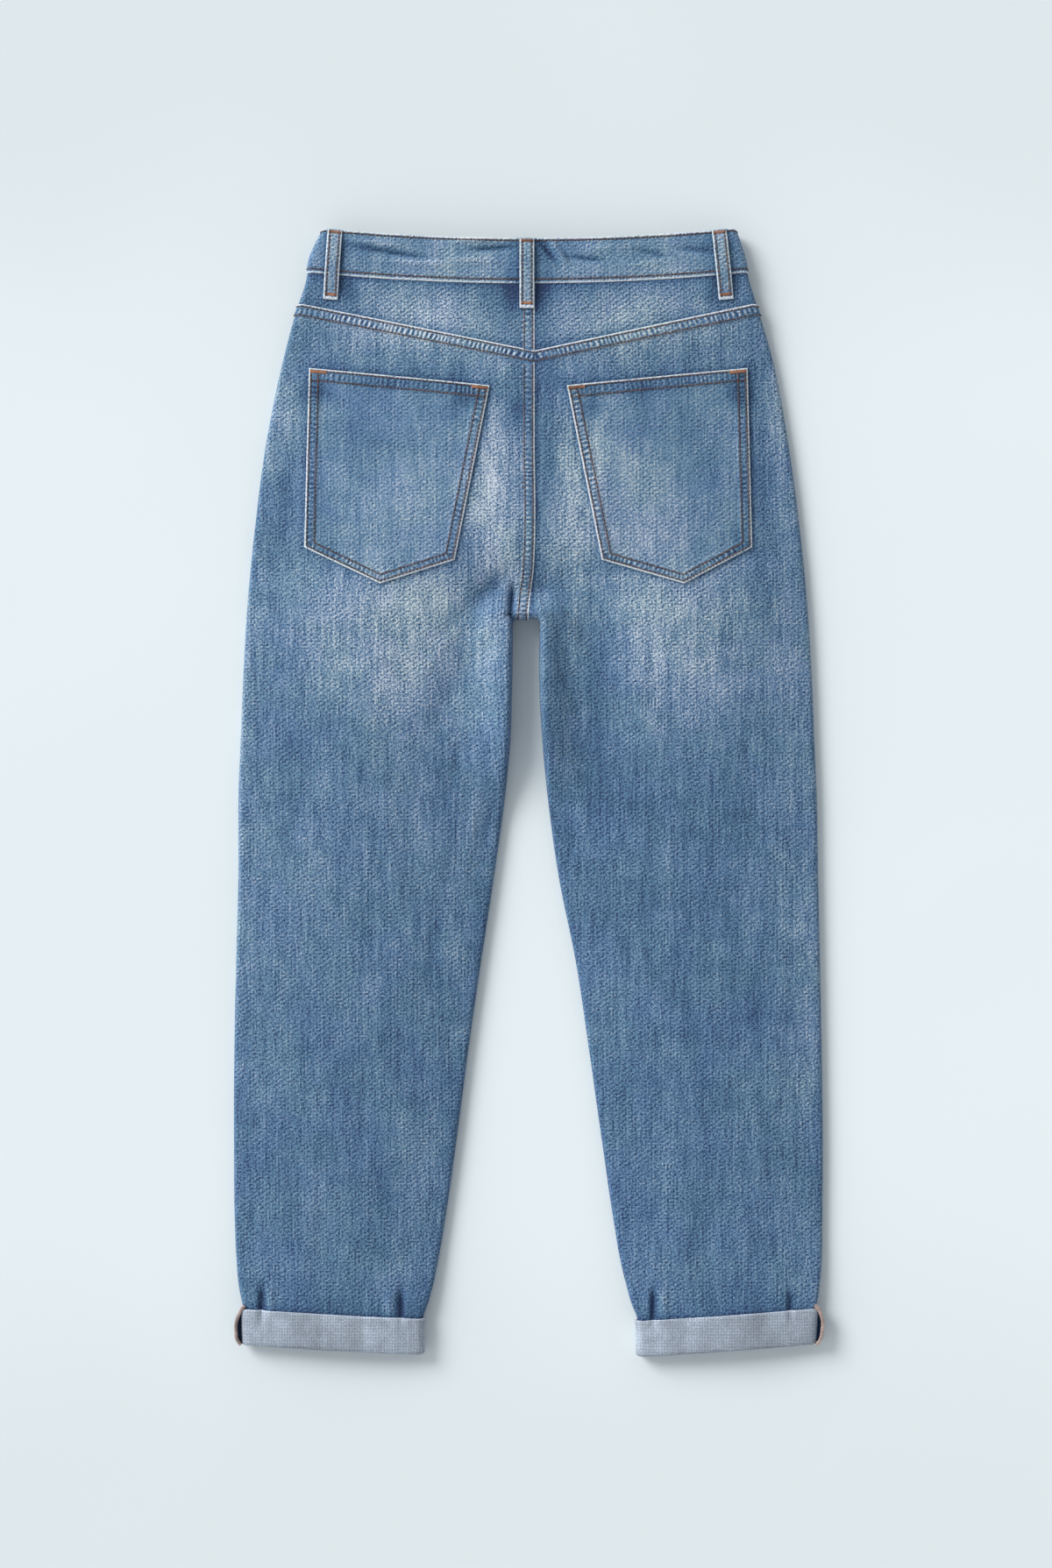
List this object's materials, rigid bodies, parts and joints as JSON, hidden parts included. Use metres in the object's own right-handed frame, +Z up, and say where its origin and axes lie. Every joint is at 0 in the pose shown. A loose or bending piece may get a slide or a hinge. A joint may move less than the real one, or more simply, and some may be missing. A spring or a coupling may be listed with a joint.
{
  "type": "mom jeans",
  "caption": "High-waisted tapered denim jeans laid flat on their front, back side up, with patch back pockets, belt loops and turned-up cuffs.",
  "frame": {"origin": "on the surface that the jeans lie on, under the middle of the whole garment", "axes": "+Y from the hems to the waist, +X to the right as seen from above the back side, +Z up from the surface"},
  "size_m": [0.5048, 0.9651, 0.026],
  "materials": {
    "denim": "stonewashed mid-blue denim, matte",
    "denim_faded": "the same denim where it is worn paler, matte",
    "denim_reverse": "the denim's pale inner side, matte",
    "zip_tape": "woven cotton tape, matte",
    "button_metal": "aged brass, satin"
  },
  "bodies": {
    "root": {"back_leg_left": "denim", "back_leg_right": "denim", "front_leg_left": "denim", "front_leg_right": "denim", "pocket_front_left": "denim", "pocket_front_right": "denim", "fly": "denim", "yoke_left": "denim_faded", "yoke_right": "denim_faded", "waistband": "denim_faded", "pocket_back_left": "denim_faded", "pocket_back_right": "denim_faded", "belt_loop_back": "denim_faded", "belt_loop_side_left": "denim_faded", "belt_loop_side_right": "denim_faded", "belt_loop_front_left": "denim_faded", "belt_loop_front_right": "denim_faded", "cuff_left": "denim_reverse", "cuff_right": "denim_reverse", "zip": "zip_tape", "button": "button_metal"}
  },
  "joints": []
}
